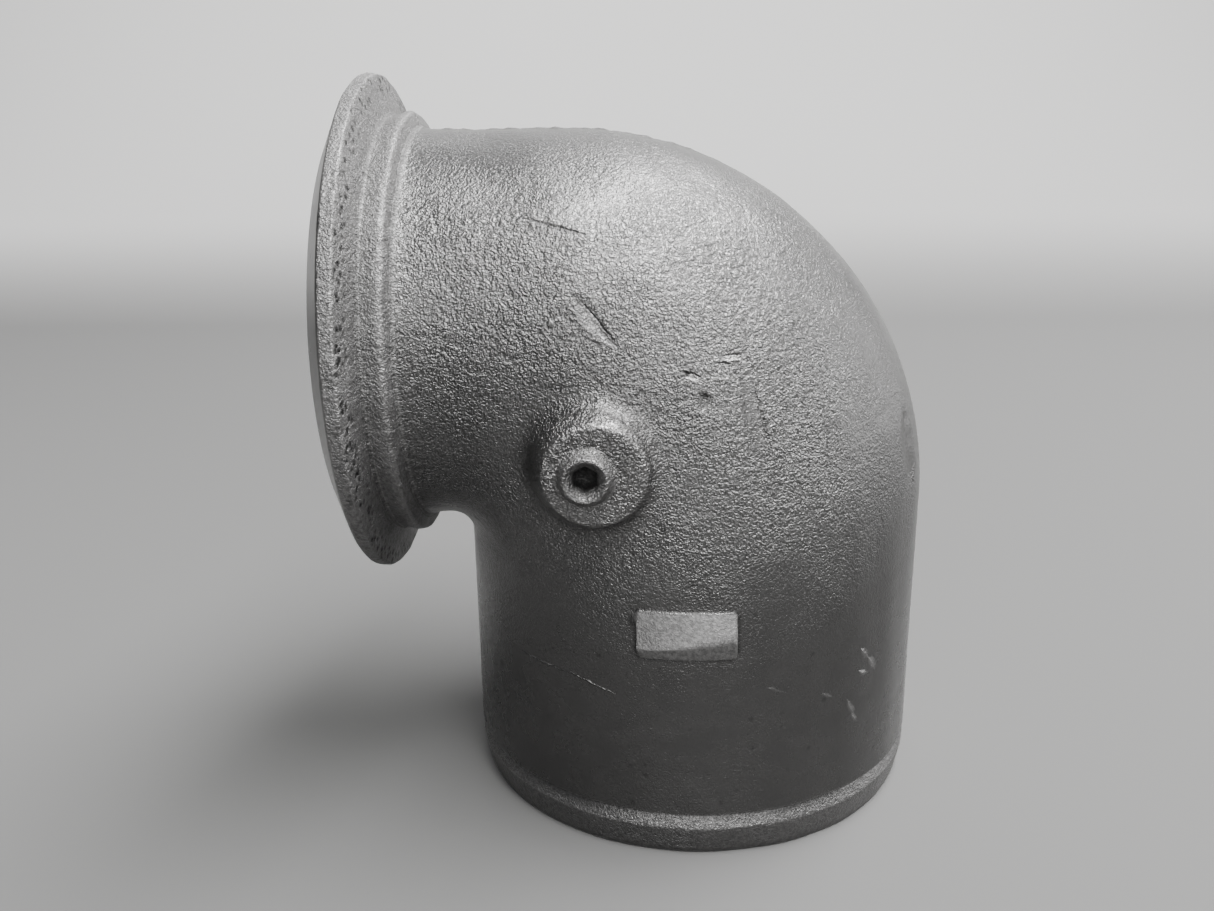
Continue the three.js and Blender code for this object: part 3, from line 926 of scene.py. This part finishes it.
# Painted shade: the socket's deep part, past its lead-in, is darkened in colour; it is rougher too.
socket_shade = off_axis.ease(2.5, 3.0, 1.0, 0.0) * plug_y.ease(PLUG_OUTER_Y + 0.9, PLUG_OUTER_Y + 2.2)
plug_shade = (0.09 + plug_coarse * 0.06 + plug_sand * 0.03) * (1.0 - socket_shade * 0.6)
plug_colour = feed.blend(grey(0.0), grey(1.0), plug_shade)
plug_rough = 0.38 + plug_coarse * 0.12 + socket_shade * 0.25
wire(shader, {"Base Color": plug_colour, "Roughness": plug_rough, "Normal": feed.bump(plug_height)})
shader.inputs["Metallic"].default_value = 0.95
plug.data.materials.append(plug_coat)

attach(plug, "plug")
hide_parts("port_plug")


# ---------------------------------------------------------------- studio floor
# Plain pale sheet in metres: flat just under the elbow, curving up into a backdrop
# behind it.

FLOOR_HALF_WIDTH = 5.0
FLOOR_FRONT = -5.0
FLOOR_BEND_START = 1.3
FLOOR_BEND_RADIUS = 0.8
BACKDROP_TOP = 3.0
FLOOR_DROP = 0.0002
FLOOR_COLOUR = (0.09, 0.0895, 0.0885, 1.0)


def sweep_line(count):
    """The sheet's side line as (y, z): flat, a quarter circle, then upright."""
    turn = np.linspace(0.0, QUARTER, count)
    arc_y = FLOOR_BEND_START + FLOOR_BEND_RADIUS * np.sin(turn)
    arc_z = FLOOR_BEND_RADIUS * (1.0 - np.cos(turn))
    y = np.concatenate([[FLOOR_FRONT], arc_y, [arc_y[-1]]])
    z = np.concatenate([[0.0], arc_z, [BACKDROP_TOP]])
    return y, z - FLOOR_DROP


sheet_y, sheet_z = sweep_line(24)
sheet_x = np.array([-FLOOR_HALF_WIDTH, FLOOR_HALF_WIDTH])[:, None]
sheet = np.stack(np.broadcast_arrays(sheet_x, sheet_y[None], sheet_z[None]), axis=-1)
step = np.arange(len(sheet_y) - 1)
sheet_faces = np.stack([step, step + len(sheet_y), step + len(sheet_y) + 1, step + 1], 1)
floor_mesh = bpy.data.meshes.new("studio_floor")
floor_mesh.from_pydata(sheet.reshape(-1, 3).tolist(), [], sheet_faces.tolist())
floor_mesh.polygons.foreach_set("use_smooth", np.ones(len(sheet_faces), bool))
floor_mesh.update()
studio_floor = bpy.data.objects.new("studio_floor", floor_mesh)
bpy.context.scene.collection.objects.link(studio_floor)
floor_paper, feed, shader = new_material("pale_paper")
shader.inputs["Base Color"].default_value = FLOOR_COLOUR
shader.inputs["Roughness"].default_value = 0.9
studio_floor.data.materials.append(floor_paper)


# ---------------------------------------------------------------- studio light
# Large soft boxes: in front above the camera, overhead, to the left, behind and to the
# right, and one that lights only the backdrop, in a dim pale room.


def soft_box(name, place, target, width, depth, brightness):
    """A rectangular area light at a place, facing a target.

    Its power is pi times its area in square metres times the brightness wanted.
    """
    light = bpy.data.lights.new(name, "AREA")
    light.shape = "RECTANGLE"
    light.size = width
    light.size_y = depth
    light.energy = math.pi * width * depth * brightness
    lamp = bpy.data.objects.new(name, light)
    lamp.location = place
    lamp.rotation_euler = (Vector(target) - Vector(place)).to_track_quat("-Z", "Y").to_euler()
    bpy.context.scene.collection.objects.link(lamp)
    return lamp


soft_box("box_front", (0.1, -1.6, 0.74), (0.0, 0.0, 0.15), 2.0, 1.0, 4.4)
soft_box("box_overhead", (0.45, -0.1, 1.4), (0.1, 0.0, 0.1), 1.7, 0.6, 38.0)
soft_box("box_left", (-1.5, 0.3, 1.1), (0.0, 0.0, 0.1), 1.2, 0.6, 2.2)
soft_box("box_back", (0.1, 1.1, 1.05), (0.0, 0.0, 0.1), 2.2, 0.6, 2.1)
soft_box("box_right", (1.45, 0.3, 0.45), (0.0, 0.0, 0.1), 1.6, 0.85, 4.5)
soft_box("box_backdrop", (0.0, 1.0, 0.95), (0.0, 2.0, 0.45), 3.0, 0.4, 75.0)
room = bpy.data.worlds.new("room")
room.use_nodes = True
room.node_tree.nodes["Background"].inputs["Color"].default_value = (0.95, 0.97, 1.0, 1.0)
room.node_tree.nodes["Background"].inputs["Strength"].default_value = 0.15
bpy.context.scene.world = room


# ---------------------------------------------------------------------- camera
# In front of the near side and about as high as the elbow, looking down at it and a
# little to the left.

EYE = Vector((0.00093, -0.25535, 0.15199))
YAW_LEFT = math.radians(2.06)
PITCH_DOWN = math.radians(17.60)
ROLL = math.radians(-0.96)
LENS = 34.45
SENSOR_WIDTH = 36.0

forward = Vector(
    (
        -math.sin(YAW_LEFT) * math.cos(PITCH_DOWN),
        math.cos(YAW_LEFT) * math.cos(PITCH_DOWN),
        -math.sin(PITCH_DOWN),
    )
)
level_right = forward.cross(Vector((0.0, 0.0, 1.0))).normalized()
level_up = level_right.cross(forward)
right = level_right * math.cos(ROLL) + level_up * math.sin(ROLL)
up = level_up * math.cos(ROLL) - level_right * math.sin(ROLL)
camera_data = bpy.data.cameras.new("camera")
camera_data.lens = LENS
camera_data.sensor_width = SENSOR_WIDTH
camera_data.clip_start = 0.01
camera = bpy.data.objects.new("camera", camera_data)
bpy.context.scene.collection.objects.link(camera)
camera.matrix_world = Matrix.Translation(EYE) @ Matrix((right, up, -forward)).transposed().to_4x4()
bpy.context.scene.camera = camera
